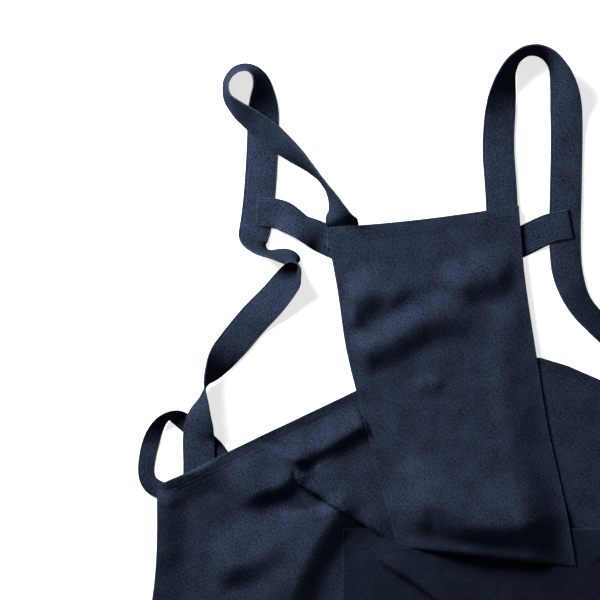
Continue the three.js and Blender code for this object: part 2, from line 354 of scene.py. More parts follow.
def shell(name, top, thickness, uv, materials, wear_and_highlight, flat_sides=()):
    """A closed sheet under the grid `top` (row, column, xyz), rows running up and columns to the right.
    Its rim is rounded, except on flat_sides ("left" or "right"), where it meets another piece."""
    rows, columns = top.shape[:2]
    end_column = {"left": 0, "right": columns - 1}
    bottom = top - grid_normals(top) * thickness[..., None]
    bottom[..., 2] = np.maximum(bottom[..., 2], CLEAR)
    rim = [(0, c) for c in range(columns)] + [(r, columns - 1) for r in range(1, rows)]
    rim += [(rows - 1, c) for c in range(columns - 2, -1, -1)] + [(r, 0) for r in range(rows - 2, 0, -1)]
    ri, ci = np.array(rim).T
    a, b = top[ri, ci], bottom[ri, ci]
    tangent = np.roll(a, -1, 0) - np.roll(a, 1, 0)
    outward = unit(np.cross(tangent, a - b))
    push = np.linalg.norm(a - b, axis=1)[:, None] * RIM_BULGE
    for side in flat_sides:
        push[ci == end_column[side]] = 0
    round_rim = ((0.22, 0.8), (0.5, 1), (0.78, 0.8))
    middle = [a * (1 - t) + b * t + outward * push * bulge for t, bulge in round_rim]
    count, ring = rows * columns, len(rim)
    co = np.vstack([top.reshape(-1, 3), bottom.reshape(-1, 3), *middle])
    index = np.arange(count).reshape(rows, columns)
    quads = np.stack([index[:-1, :-1], index[:-1, 1:], index[1:, 1:], index[1:, :-1]], -1).reshape(-1, 4)
    faces = quads.tolist() + (quads[:, ::-1] + count).tolist()
    loops = [index[ri, ci]]
    loops += [2 * count + k * ring + np.arange(ring) for k in range(len(middle))]
    loops += [index[ri, ci] + count]
    for upper, lower in zip(loops[:-1], loops[1:]):
        faces += np.stack([upper, lower, np.roll(lower, -1), np.roll(upper, -1)], -1).tolist()
    plan = uv.reshape(-1, 2)
    all_uv = np.vstack([plan, plan] + [uv[ri, ci]] * 3)
    # Rim vertices are 0.15 paler: partly real wear on the folded edge, partly painted highlight along it.
    all_wear_and_highlight = np.concatenate([wear_and_highlight.ravel(), wear_and_highlight.ravel()] + [np.minimum(wear_and_highlight[ri, ci] + 0.15, 1)] * 3)
    reverse = np.zeros(len(faces), int)
    reverse[len(quads) : 2 * len(quads)] = 1
    sharp = []
    for side in flat_sides:
        column = index[:, end_column[side]]
        sharp += [(int(p), int(q)) for p, q in zip(column[:-1], column[1:])]
        sharp += [(p + count, q + count) for p, q in sharp]
    return mesh_object(name, co, faces, all_uv, materials, reverse, all_wear_and_highlight, sharp)


BAND_CORNERS = 10  # corners of a CAD band's cross-section


def rings(name):
    """The cross-sections of a CAD band, from one end to the other."""
    co, faces = welded(name)
    beside = [set() for _ in co]
    for f in faces:
        for v in f:
            beside[v].update(f)
    normals, firsts = face_normals(co, faces), co[[f[0] for f in faces]]
    found = []
    for normal, first in zip(normals, firsts):
        level = (normals @ normal > 0.99999) & (np.abs((firsts - first) @ normal) < 0.1 * CLEAR)
        corners = {v for k in np.flatnonzero(level) for v in faces[k]}
        if len(corners) == BAND_CORNERS:  # perhaps an end of the band
            layers, visited = [sorted(corners)], set(corners)
            while ahead := set().union(*(beside[v] for v in layers[-1])) - visited:
                layers.append(sorted(ahead))
                visited |= ahead
            if all(len(layer) == BAND_CORNERS for layer in layers):
                found.append(layers)
    return [co[layer] for layer in max(found, key=len)]


def blurred_path(values, sigma):
    """Smooths along a path. The ends stay."""
    kernel, reach = bell_kernel(sigma)
    ahead = 2 * values[-1] - values[-2 : -reach - 2 : -1]
    behind = 2 * values[0] - values[reach:0:-1]
    padded = np.vstack([behind, values, ahead])
    return np.stack([np.convolve(padded[:, k], kernel, "valid") for k in range(values.shape[1])], -1)


STRAP_STEP = 2.5 * MM
CENTRE_BLUR, SIDE_BLUR = 1.5, 1.9  # in steps


def path_of(names, start_near):
    """The middle line of bands that follow on from one another: centres, side vectors, normals and
    distances, at STRAP_STEP, and the distance at which two bands are cut. start_near is a plan point
    near the first band's first end."""
    centres, sides = [], []
    for name in names:
        found = rings(name)
        middle = np.array([r.mean(0) for r in found])
        near = np.array(start_near)
        if np.linalg.norm(middle[0][:2] - near) > np.linalg.norm(middle[-1][:2] - near):
            found, middle = found[::-1], middle[::-1]
        start_near = middle[-1][:2]
        centres.append(middle)
        sides.append(np.array([np.linalg.svd(r - r.mean(0))[2][0] for r in found]))
    centre, side = np.vstack(centres), np.vstack(sides)
    heading = unit(np.gradient(centre, axis=0))
    if np.cross(side[0], heading[0])[2] < 0:
        side[0] *= -1
    for k in range(1, len(side)):
        if side[k] @ side[k - 1] < 0:
            side[k] *= -1
    cut = None
    distance = travelled(centre)
    if len(names) == 2:
        gap = len(centres[0])
        cut = (distance[gap - 1] + distance[gap]) / 2
    even = np.linspace(0, distance[-1], int(distance[-1] / STRAP_STEP) + 1)
    centre = blurred_path(read_off(even, distance, centre), CENTRE_BLUR)
    side = unit(blurred_path(read_off(even, distance, side), SIDE_BLUR))
    heading = unit(np.gradient(centre, axis=0))
    normal = unit(np.cross(side, heading))
    side = unit(np.cross(heading, normal))
    return {"centre": centre, "side": side, "normal": normal, "distance": even, "cut": cut}


def part_of(path, start, end):
    """A path between two distances, with points exactly at both."""
    distance, least = path["distance"], 0.2 * MM
    inside = distance[(distance > start + least) & (distance < end - least)]
    at = np.concatenate([[start], inside, [end]])
    out = {key: read_off(at, distance, path[key]) for key in ("centre", "side", "normal")}
    return dict(out, distance=at)


def ribbon_section(width, thickness):
    """Half the outline of a stitched band: offsets across it and half thicknesses, edge to edge."""
    half = width / 2
    insets = np.array([0, 0.25, 0.7, 1.3, 1.9, 2.3, 2.6, 2.9, 3.4, 4.4, 6.5, 9.5, 13.5]) * MM
    insets = insets[insets < half - 1 * MM]
    t = thickness / 2
    body = t * (1 + 0.16 * smooth((insets - 3 * MM) / (8 * MM)))
    corner = np.sqrt(np.clip(1 - (1 - np.clip(insets / (0.9 * MM), 0, 1)) ** 2, 0, 1))
    groove = 1 - 0.42 * bell(insets - STRAP_STITCH_INSET, 0.45 * MM)
    depth = np.maximum(body * corner * groove, 0.05 * MM)
    across = np.concatenate([-half + insets, [0], half - insets[::-1]])
    return across, np.concatenate([depth, [t * 1.16], depth[::-1]])


def ribbon_waves(path, across, width, seed):
    """How far a band's points stand off its middle plane: stitched edges pucker and the middle is uneven."""
    d = path["distance"][:, None] + np.zeros_like(across)[None, :]
    u = across[None, :] / (width / 2) + np.zeros_like(d)
    edge = np.abs(u) ** 3
    pucker = 0.75 * MM * edge * gradient_noise(d / (13 * MM), u * 1.5 + 9, seed)
    wave = 1.5 * MM * np.sign(u) * np.abs(u) ** 1.6 * gradient_noise(d / (48 * MM), u * 0.4 + 3, seed + 5)
    crease = 0.35 * MM * crumple(d, across[None, :] + 0 * d, 16 * MM, seed + 9, 0.8)
    fade = smooth(np.minimum(d - d[0, 0], d[-1, 0] - d) / (12 * MM))
    return (pucker + wave + crease) * fade


def ribbon_points(path, across, width, seed, waves=1.0):
    """The middle surface of a band."""
    lift = ribbon_waves(path, across, width, seed) * waves
    points = path["centre"][:, None] + path["side"][:, None] * across[None, :, None]
    return points + path["normal"][:, None] * lift[..., None]


def ribbon(name, path, width, thickness, seed, waves=1.0):
    """A closed band of folded cloth along a path."""
    across, depth = ribbon_section(width, thickness)
    middle = ribbon_points(path, across, width, seed, waves)
    normal = path["normal"][:, None] + np.zeros_like(middle)
    offset = normal * depth[None, :, None]
    top, bottom = middle + offset, middle - offset
    section = np.concatenate([top, bottom[:, ::-1]], 1)
    section[..., 2] += np.maximum(0.1 * MM - section[..., 2].min(1), 0)[:, None]
    count, ring = section.shape[:2]
    co = section.reshape(-1, 3)
    index = np.arange(count * ring).reshape(count, ring)
    ahead = np.roll(index, -1, 1)
    quads = np.stack([index[:-1], ahead[:-1], ahead[1:], index[1:]], -1).reshape(-1, 4)
    faces = quads.tolist()
    half = ring // 2
    for row, flip in ((0, False), (count - 1, True)):
        near, far = index[row, :half], index[row, : half - 1 : -1]
        cap = np.stack([near[:-1], near[1:], far[1:], far[:-1]], -1)
        faces += (cap if flip else cap[:, ::-1]).tolist()
    u = np.concatenate([across, across[::-1]])
    uv = np.stack(np.meshgrid(u, path["distance"]), -1)
    inset = width / 2 - np.abs(u)
    # Paler along the band's edges and beside its stitches: partly real wear, partly painted highlight where
    # light grazes the folded edges.
    wear_and_highlight = 0.45 * bell(inset, 1.1 * MM) + 0.1 * bell(inset - 3.6 * MM, 1.2 * MM)
    wear_and_highlight = np.tile(wear_and_highlight, (count, 1)).ravel()
    return mesh_object(name, co, faces, uv.reshape(-1, 2), [STRAPPING], wear_and_highlight=wear_and_highlight)


DASH = {"first": 0.6 * MM, "length": 3.7 * MM, "pitch": 5.0 * MM, "width": 0.42 * MM, "height": 0.26 * MM}


def stitches(name, rows, place, *nodes):
    """Short raised lengths of thread. Each row is (points, normals) along a seam."""
    sides = 6
    around = np.linspace(0, 2 * math.pi, sides, endpoint=False)
    section = np.stack([np.cos(around) * DASH["width"], np.sin(around) * DASH["height"]], -1)
    ends = np.array([0, 0.12, 0.5, 0.88, 1])
    swell = np.array([0.35, 0.85, 1, 0.85, 0.35])
    drop = np.array([-0.5, 0.1, 0.35, 0.1, -0.5])
    co, faces = [], []
    for points, normals in rows:
        distance = travelled(points)
        starts = np.arange(DASH["first"], distance[-1] - DASH["length"], DASH["pitch"])
        for start in starts:
            at = start + ends * DASH["length"]
            centre = read_off(at, distance, points)
            up = unit(read_off(at, distance, normals))
            heading = unit(np.gradient(centre, axis=0))
            side = unit(np.cross(heading, up))
            base = len(co)
            for k in range(len(ends)):
                middle = centre[k] + up[k] * drop[k] * DASH["height"]
                for across, above in swell[k] * section:
                    co.append(middle + side[k] * across + up[k] * above)
            for k in range(len(ends) - 1):
                for m in range(sides):
                    a, b = base + k * sides + m, base + k * sides + (m + 1) % sides
                    faces.append([a, b, b + sides, a + sides])
            faces.append([base + m for m in reversed(range(sides))])
            faces.append([len(co) - sides + m for m in range(sides)])
    co = np.array(co)
    placed(mesh_object(name, co, faces, co[:, :2], [THREAD]), place, "thread", *nodes)


# ---- materials


class Nodes:
    """A short way to write a material's nodes."""

    def __init__(self, name):
        self.material = bpy.data.materials.new(name)
        self.material.use_nodes = True
        self.tree = self.material.node_tree
        self.surface = self.tree.nodes["Principled BSDF"]

    def add(self, kind, inputs=None, **settings):
        node = self.tree.nodes.new(kind)
        for key, value in settings.items():
            setattr(node, key, value)
        for key, value in (inputs or {}).items():
            self.put(node, key, value)
        return node

    def put(self, node, key, value):
        if isinstance(value, bpy.types.NodeSocket):
            self.tree.links.new(value, node.inputs[key])
        else:
            node.inputs[key].default_value = value

    def math(self, operation, a, b=0.0, c=0.0):
        return self.add("ShaderNodeMath", {0: a, 1: b, 2: c}, operation=operation).outputs[0]

    def noise(self, vector, scale, detail=2.0, rough=0.5, stretch=(1, 1, 1), turn=0.0):
        turned = {"Vector": vector, "Scale": stretch, "Rotation": (0, 0, turn)}
        mapping = self.add("ShaderNodeMapping", turned, vector_type="TEXTURE")
        inputs = {"Vector": mapping.outputs[0], "Scale": scale, "Detail": detail, "Roughness": rough}
        return self.add("ShaderNodeTexNoise", inputs).outputs["Fac"]

    def ramp(self, value, stops):
        node = self.add("ShaderNodeValToRGB", {"Fac": value})
        elements = node.color_ramp.elements
        while len(elements) < len(stops):
            elements.new(0.5)
        for element, (at, colour) in zip(elements, stops):
            element.position, element.color = at, (*colour, 1)
        return node.outputs["Color"]

    def spread(self, value, low, high):
        """0 at low and below, 1 at high and above."""
        return self.add("ShaderNodeMapRange", {"Value": value, "From Min": low, "From Max": high}).outputs[0]

    def mix(self, share, from_colour, to_colour):
        """Inputs 0, 6 and 7 are the factor and the two colours."""
        inputs = {0: share, 6: from_colour, 7: to_colour}
        return self.add("ShaderNodeMix", inputs, data_type="RGBA").outputs[2]

    def surfaced(self, **inputs):
        """The material with these inputs of its surface, written with _ for each space."""
        for key, value in inputs.items():
            self.put(self.surface, key.replace("_", " "), value)
        return self.material

    def bump(self, height, strength, distance, before=None):
        inputs = {"Height": height, "Strength": strength, "Distance": distance}
        if before is not None:
            inputs["Normal"] = before
        return self.add("ShaderNodeBump", inputs).outputs[0]


def woven(name, dark, light, wear_and_highlight_colour, turn, rib=1.5 * MM):
    """Twill: diagonal ribs over a fine weave and mottled dye, turned towards a pale colour where the
    vertices are marked: worn threads along edges, and painted highlight along edges and on the crests of
    folds.
    """
    n = Nodes(name)
    at = n.add("ShaderNodeUVMap", uv_map="cloth").outputs[0]
    ribs = n.noise(at, 1 / rib, 2.0, 0.6, (2.0, 1, 1), turn)
    fine = n.noise(at, 1 / (0.6 * MM), 1.0, 0.5, (2.5, 1, 1), turn)
    mottle = n.noise(at, 1 / (26 * MM), 3.0, 0.55)
    crinkle = n.noise(at, 1 / (6 * MM), 2.0, 0.5, (2.2, 1, 1), turn)
    tone = n.math("MULTIPLY_ADD", fine, 0.2, n.math("MULTIPLY", mottle, 0.2))
    tone = n.math("MULTIPLY_ADD", ribs, 0.6, tone)
    dye = n.ramp(tone, [(0.41, dark), (0.6, light)])
    # Marked vertices go pale: partly real wear along edges, partly painted highlight on edges and fold
    # crests.
    wear_and_highlight = n.add("ShaderNodeAttribute", attribute_name="wear_and_highlight").outputs["Fac"]
    patchy = n.math("MULTIPLY", wear_and_highlight, n.spread(ribs, 0.3, 0.75))
    height = n.math("MULTIPLY_ADD", ribs, 0.7, n.math("MULTIPLY", fine, 0.3))
    weave = n.bump(height, 0.4, 0.8 * MM)
    return n.surfaced(
        Base_Color=n.mix(patchy, dye, (*wear_and_highlight_colour, 1)),
        Roughness=n.math("MULTIPLY_ADD", mottle, 0.2, 0.78),
        Specular_IOR_Level=0.03,
        Sheen_Weight=0.012,
        Sheen_Roughness=0.5,
        Sheen_Tint=(0.5, 0.68, 1.0, 1),
        Normal=n.bump(crinkle, 0.3, 1.6 * MM, weave),
    )


def thread_material():
    n = Nodes("navy_thread")
    at = n.add("ShaderNodeUVMap", uv_map="cloth").outputs[0]
    ply = n.noise(at, 1 / (0.4 * MM), 1.0, 0.5, (0.4, 1, 1), 0.6)
    tone = n.noise(at, 1 / (9 * MM), 2.0)
    shade = n.math("MULTIPLY_ADD", ply, 0.5, n.math("MULTIPLY", tone, 0.5))
    return n.surfaced(
        Base_Color=n.ramp(shade, [(0.35, (0.008, 0.011, 0.021)), (0.7, (0.024, 0.035, 0.063))]),
        Roughness=0.7,
        Specular_IOR_Level=0.05,
        Normal=n.bump(ply, 0.4, 0.2 * MM),
    )


def table_material():
    n = Nodes("pale_table")
    place = n.add("ShaderNodeNewGeometry").outputs["Position"]
    grey = n.ramp(n.noise(place, 3.0), [(0.3, (0.93, 0.93, 0.93)), (0.7, (0.95, 0.95, 0.95))])
    return n.surfaced(Base_Color=grey, Roughness=0.8, Emission_Color=(1, 1, 1, 1), Emission_Strength=0.72)


TWILL = woven(
    "navy_twill", (0.0065, 0.0090, 0.0170), (0.0245, 0.0365, 0.0690), (0.048, 0.072, 0.128), 0.75
)
REVERSE = woven(
    "navy_twill_reverse", (0.013, 0.016, 0.026), (0.026, 0.033, 0.052), (0.06, 0.08, 0.13), -0.75
)
STRAPPING = woven(
    "strap_twill", (0.0070, 0.0100, 0.0190), (0.0270, 0.0400, 0.0740), (0.062, 0.093, 0.165), 0.6, 1.6 * MM
)
# The pocket is the apron's own twill painted about half as bright: painted shade for the dimmer light on the
# pocket.
POCKET_TWILL_PAINTED_SHADE = woven(
    "pocket_twill_painted_shade", (0.0048, 0.0068, 0.0126), (0.0122, 0.0182, 0.0342), (0.048, 0.072, 0.128), 0.75
)
FACING = woven("facing_twill", (0.011, 0.014, 0.023), (0.023, 0.030, 0.048), (0.05, 0.07, 0.11), 0.2)
THREAD = thread_material()


# ---- cloth of the skirt and wings

SKIRT, LEFT_WING, RIGHT_WING = (outline(n) for n in ("skirt_panel", "left_wing_panel", "right_wing_panel"))
BIB = outline("bib_panel")
UPPER_EDGE = np.vstack([LEFT_WING["top"], SKIRT["top"], RIGHT_WING["top"]])
LOWER_EDGE = np.vstack([LEFT_WING["bottom"], SKIRT["bottom"], RIGHT_WING["bottom"]])
FOLD_LEFT, FOLD_RIGHT = BIB["left"][0], BIB["right"][0]  # the ends of the fold at the waist

LIP = Fold(
    [(-129, 108), (-126, 86), (-106, 73), (-74, 53), (-34, 28), (0, -2)],
    12, 60, 3, 5, 1.0, (0.15, 0.3),
)
WING_FOLDS = [
    Fold([(-150, 106), (-128, 117), (-99, 122), (-70, 140), (-40, 158)], 13, 34, 24, 1, 1.4, (0.25, 0.05)),
    Fold(
        [(-205, 47), (-190, 62), (-171, 73), (-146, 78), (-133, 96), (-126, 118)],
        14.5, 70, 26, 0.5, 1.5, (0.35, 0.05),
    ),
    Fold(
        [(-92, 62), (-78, 44), (-99, 17), (-117, -16), (-130, -44), (-155, -130)],
        19.5, 36, 75, 0, 1.8, (0.1, 0.5),
    ),
    Fold([(-134, 16), (-157, 4), (-182, -12), (-215, -26), (-240, -30)], 13.5, 33, 60, 0, 1.8, (0.3, 0.3)),
    Fold([(-300, 80), (-258, 93), (-214, 112)], 10, 8, 38, 0, 2, (0.1, 0.4)),
    Fold([(-301, 75), (-303, -20), (-310, -120)], 12, 42, 22, 0, 2, (0.1, 0.6)),
    Fold([(-40, 2), (-14, -18), (22, -40), (60, -70), (90, -105)], 9, 40, 8, 3, 1.6, (0.3, 0.4)),
]
SKIRT_FOLDS = [
    Fold([(-225, -60), (-250, -250), (-270, -500)], 5, 34, 22),
    Fold([(-98, -79), (-130, -260), (-150, -520)], 6, 40, 18),
    Fold([(-40, -200), (-20, -350), (-45, -530)], 4, 30, 26),
    Fold([(150, -60), (130, -300), (150, -530)], 5, 22, 40),
    Fold([(270, -200), (300, -380), (280, -530)], 5, 26, 34),
    Fold([(420, 20), (440, -200), (470, -520)], 5, 36, 22),
]
RIGHT_WING_FOLDS = [  # measured from the lower right corner of the bib
    Fold([(126, 110), (120, 92), (70, 40), (10, 0)], 6, 6, 60, lean=2),
    Fold([(200, 90), (130, 110), (60, 140)], 5, 15, 26),
    Fold([(230, 40), (200, -20), (215, -90)], 4, 18, 18),
    Fold([(60, 10), (140, -20), (190, -60)], 5, 20, 12),
]


def cloth_noise(x, y, seed):
    """Loose cloth's unevenness, from broad waves to small creases."""
    waves = 2.2 * gradient_noise(x / (85 * MM), y / (70 * MM), seed)
    waves += 0.8 * gradient_noise(x / (36 * MM), y / (30 * MM), seed + 1)
    creases = 0.16 * crumple(x, y, 24 * MM, seed + 2, 1.5, 0.7)
    creases += 0.07 * crumple(x, y, 11 * MM, seed + 4, 1.4, -0.5)
    return (waves + creases) * MM


def faced_edge(x, y, inset, pucker, cell, seed):
    """What an edge's facing adds to the cloth's height, in millimetres: a second layer, a groove along
    its stitches and puckers about them. `cell` is a pucker's size in plan."""
    second_layer = 0.7 * smooth((FACING_DEPTH - inset) / (3 * MM))
    groove = 0.5 * bell(inset - STITCH_INSET, 1.1 * MM)
    puckers = pucker * gradient_noise(x / cell[0], y / cell[1], seed) * bell(inset - STITCH_INSET, cell[0])
    return second_layer - groove + puckers


def edge_wear_and_crest_highlight(inset, z, edge=0.3, edge_width=1.2 * MM):
    """Paleness along edges, partly real wear and partly painted highlight, and, more weakly, painted
    highlight on the crests of folds.
    """
    crest = z - box_blur(z, 3)
    return edge * bell(inset, edge_width) + np.clip(crest / (3 * MM), 0, 0.06)


cloth_base = Heights(["skirt_panel", "left_wing_panel", "right_wing_panel"])


def in_the_open(x, y):
    """1 in the open, 0 well under the bib."""
    v = (y - FOLD_LEFT[1]) / (BIB["left"][-1][1] - FOLD_LEFT[1])
    inside = np.minimum(x - along(BIB["left"], v)[..., 0], along(BIB["right"], v)[..., 0] - x)
    inside = np.minimum(inside, y - FOLD_LEFT[1])
    return 1 - smooth((inside + 4 * MM) / (28 * MM))


def cloth_surface(x, y, lip=True):
    """The top of the skirt and wings above plan points, and how far their folds lean. The pleat whose lip
    crosses the pocket can be left out, for what lies beneath it."""
    folds = WING_FOLDS + SKIRT_FOLDS + [LIP] * lip
    rise, dx, dy = np.add(fold_all(folds, FOLD_LEFT, x, y), fold_all(RIGHT_WING_FOLDS, FOLD_RIGHT, x, y))
    free = 0.25 + 0.75 * in_the_open(x, y)
    inset = np.interp(x, *UPPER_EDGE.T) - y
    curl = 2.6 * np.clip(1 - inset / (15 * MM), 0, 1) ** 1.5
    edge = curl + faced_edge(x, y, inset, 0.55, (8 * MM, 20 * MM), 31)
    z = cloth_base(x, y) + (rise + cloth_noise(x, y, 11)) * free + edge * MM
    return np.maximum(z, CLOTH + 2 * CLEAR), dx * free, dy * free


# how far in from a faced edge the grid's rows lie: close at the edge and along the stitches
EDGE_ROWS = MM * np.array(
    [0, 0.4, 1, 2, 3.5, 5.5, 7.5, 9.5, 11, 12.2, 13.2, 14.2, 15.2, 16.2, 17.5, 19.5, 22]
)
EDGE_REACH = EDGE_ROWS[-1]
SKIRT_HEIGHT = 560 * MM  # about, for spacing the grid's rows
HAND = {-1: "left", 1: "right"}  # by the sign of x


def wing_bend():
    """Bakes a piece's placement into its mesh; the piece stays where it lies."""
    return lambda obj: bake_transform(obj)


def skirt_plan(back, side, step):
    """Plan points of half of the skirt with its wing, rows running up and columns to the right, and the
    back edge's x beside each of them."""
    share = np.linspace(0, 1, 200)
    outer = along(back, share)[:, 0]
    reach = abs(outer[-1])
    across = np.concatenate([EDGE_ROWS[:8], steps(EDGE_ROWS[8], (reach, step))]) / reach
    u = across if side < 0 else 1 - across[::-1]
    coarse_end = SKIRT_HEIGHT * 0.45
    lower = np.concatenate([EDGE_ROWS[:12:2], steps(EDGE_ROWS[13], (coarse_end, step * 2))])
    upper = steps(coarse_end, (SKIRT_HEIGHT, step * 0.95))[1:]
    u, v = np.meshgrid(u, np.unique(np.concatenate([lower, upper]) / SKIRT_HEIGHT))
    x = np.interp(v, share, outer) * (1 - u if side < 0 else u)
    top, bottom = np.interp(x, *UPPER_EDGE.T), np.interp(x, *LOWER_EDGE.T)
    body = bottom + (top - bottom - EDGE_REACH) * v
    edge = EDGE_ROWS[-2::-1]
    x = np.vstack([x, *[x[-1:] for _ in edge]])
    y = np.vstack([body, *[top[-1:] - inset for inset in edge]])
    back_x = np.interp(y, [bottom.min(), top[-1].max()], [outer[0], outer[-1]])
    return x, y, back_x


def skirt_half(name, back, side, step):
    """Half of the skirt with its wing, from the back edge to the centre line."""
    x, y, back_x = skirt_plan(back, side, step)
    z, dx, dy = cloth_surface(x, y)
    z += 0.5 * MM * smooth(1 - np.abs(x - back_x) / (9 * MM))
    inset = np.minimum(np.interp(x, *UPPER_EDGE.T) - y, y - np.interp(x, *LOWER_EDGE.T))
    # Paler along edges and fold crests, partly real wear and partly painted highlight, and a little paler
    # along the hem's ridge from wear.
    wear_and_highlight = np.clip(edge_wear_and_crest_highlight(inset, z) + 0.06 * bell(inset - 15.5 * MM, 1.4 * MM), 0, 1)
    thickness = CLOTH + 0.5 * MM * np.exp(-inset / (2 * MM))
    points, uv = np.stack([x + dx, y + dy, z], -1), np.stack([x, y], -1)
    obj = shell(name, points, thickness, uv, [TWILL, REVERSE], wear_and_highlight, flat_sides=(HAND[-side],))
    placed(obj, wing_bend(), "twill", "skirt_panel", f"{HAND[side]}_wing_panel")


skirt_half("skirt_left_half", LEFT_WING["left"], -1, 3.2 * MM)
skirt_half("skirt_right_half", RIGHT_WING["right"], 1, 4.5 * MM)


def facing(name, nodes):
    """The strip behind a wing's upper edge, which goes on under the bib."""
    edge_x = np.concatenate([outline(n)["top"][:, 0] for n in nodes])
    low, high = edge_x.min(), edge_x.max()
    insets = MM * np.array([15, 14, 12, 8, 4, 1.4, 0.8])
    x, inset = np.meshgrid(np.linspace(low, high, int((high - low) / (4 * MM))), insets)
    y = np.interp(x, *UPPER_EDGE.T) - inset
    z, dx, dy = cloth_surface(x, y)
    points = np.stack([x + dx, y + dy, np.maximum(z - CLOTH - 0.35 * MM, 0.6 * MM)], -1)
    thickness, wear_and_highlight = np.full(x.shape, 0.5 * MM), np.full(x.shape, 0.1)
    obj = shell(name, points, thickness, np.stack([x, y], -1), [FACING, FACING], wear_and_highlight)
    placed(obj, wing_bend(), "facing_cloth", *nodes)


facing("left_armhole_and_wing_facing", ["left_armhole_facing", "left_wing_facing"])
facing("right_armhole_and_wing_facing", ["right_armhole_facing", "right_wing_facing"])


ROW_STEP = 1.5 * MM


def surface_row(x, y, surface):
    """A seam over the cloth: points and normals along plan points."""
    z, dx, dy = surface(x, y)
    near = 0.8 * MM
    slope_x = (surface(x + near, y)[0] - surface(x - near, y)[0]) / (2 * near)
    slope_y = (surface(x, y + near)[0] - surface(x, y - near)[0]) / (2 * near)
    normals = unit(np.stack([-slope_x, -slope_y, np.ones_like(x)], -1))
    return np.stack([x + dx, y + dy, z], -1) + normals * THREAD_LIFT, normals


def dense(points):
    """A plan line's points at a stitch row's spacing."""
    points = np.array(points, float)
    distance = travelled(points)
    return read_off(np.arange(0, distance[-1], ROW_STEP), distance, points)


def wing_stitches(name, node, side):
    """The row along a wing's upper edge, as far as the bib."""
    low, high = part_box(node)
    middle_end = FOLD_LEFT[0] - 10 * MM if side < 0 else FOLD_RIGHT[0] + 20 * MM
    x = np.arange(min(low.x, middle_end), max(high.x, middle_end), ROW_STEP)
    y = np.interp(x, *UPPER_EDGE.T) - STITCH_INSET
    stitches(name, [surface_row(x, y, cloth_surface)], wing_bend(), node)


wing_stitches("left_wing_stitches", "left_wing_thread", -1)
wing_stitches("right_wing_stitches", "right_wing_thread", 1)


# ---- pocket

POCKET_LOW, POCKET_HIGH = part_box("kangaroo_pocket")
SEAM = 4 * MM  # how far in from the pocket's edge its stitches run
POCKET_HEM = 25 * MM  # how far below the pocket's mouth its hem is stitched
POCKET_STEP = 3.4 * MM


def pocket_surface(x, y):
    """The top of the pocket's cloth: filled out inside its seams, with a hem along the mouth."""
    z, dx, dy = cloth_surface(x, y, lip=False)
    side = np.minimum(x - POCKET_LOW.x, POCKET_HIGH.x - x)
    inset = np.minimum(side, y - POCKET_LOW.y)
    top = POCKET_HIGH.y - y
    puff = 1.4 * smooth((inset - SEAM) / (40 * MM)) - 0.35 * bell(inset - SEAM, 0.9 * MM)
    pucker = 0.4 * gradient_noise(x / (9 * MM), y / (9 * MM), 41) * bell(inset - SEAM, 6 * MM)
    hem = 0.6 * smooth((POCKET_HEM + 2 * MM - top) / (3 * MM)) - 0.35 * bell(top - POCKET_HEM, 0.9 * MM)
    divider = 0.5 * bell(x, 1.4 * MM) * smooth((top - POCKET_HEM - 3 * MM) / (4 * MM))
    creases = 0.5 * crumple(x, y, 24 * MM, 47, 1.3, 0.4) * smooth(inset / (30 * MM))
    rise = 0.7 + puff + pucker + hem - divider + creases
    return z + CLOTH + rise * MM, dx, dy


def pocket():
    near = EDGE_ROWS[:8]
    width, height = POCKET_HIGH.x - POCKET_LOW.x, POCKET_HIGH.y - POCKET_LOW.y
    half = np.concatenate([near, steps(near[-1], (width / 2, POCKET_STEP))[1:]])
    across = np.concatenate([half, width - half[-2::-1]])
    body = steps(near[-1], (height - 30 * MM, POCKET_STEP))[1:]
    mouth = height - MM * np.array([*range(28, 0, -2), 1, 0.4, 0])
    up = np.concatenate([near, body, mouth])
    x, y = np.meshgrid(POCKET_LOW.x + across, POCKET_LOW.y + up)
    z, dx, dy = pocket_surface(x, y)
    inset = np.minimum.reduce([x - POCKET_LOW.x, POCKET_HIGH.x - x, y - POCKET_LOW.y, POCKET_HIGH.y - y])
    points, uv = np.stack([x + dx, y + dy, z], -1), np.stack([y, x], -1)
    # Paler along the pocket's edges and fold crests: partly real wear, partly painted highlight.
    thickness, wear_and_highlight = np.full(x.shape, CLOTH), edge_wear_and_crest_highlight(inset, z, 0.35)
    obj = shell("kangaroo_pocket_cloth", points, thickness, uv, [POCKET_TWILL_PAINTED_SHADE, REVERSE], wear_and_highlight)
    placed(obj, riding("skirt"), "twill", "kangaroo_pocket")


def pocket_stitches():
    """Rows round the pocket's sides and foot, under its hem, and down its middle."""
    left, right = POCKET_LOW.x + SEAM, POCKET_HIGH.x - SEAM
    low, high = POCKET_LOW.y + SEAM, POCKET_HIGH.y - SEAM
    corner = 6 * MM
    foot = [(left, low + corner), (left + corner, low), (right - corner, low), (right, low + corner)]
    edge = [(left, high), *foot, (right, high)]
    hem = [(left, POCKET_HIGH.y - POCKET_HEM), (right, POCKET_HIGH.y - POCKET_HEM)]
    middle = (left + right) / 2
    divider = [(middle, high - POCKET_HEM), (middle, low)]
    for part, lines in (("pocket", (edge, hem)), ("pocket_divider", (divider,))):
        rows = [surface_row(*dense(line).T, pocket_surface) for line in lines]
        stitches(f"{part}_stitches", rows, riding("skirt"), f"{part}_thread")


pocket()
pocket_stitches()


# ---- bib

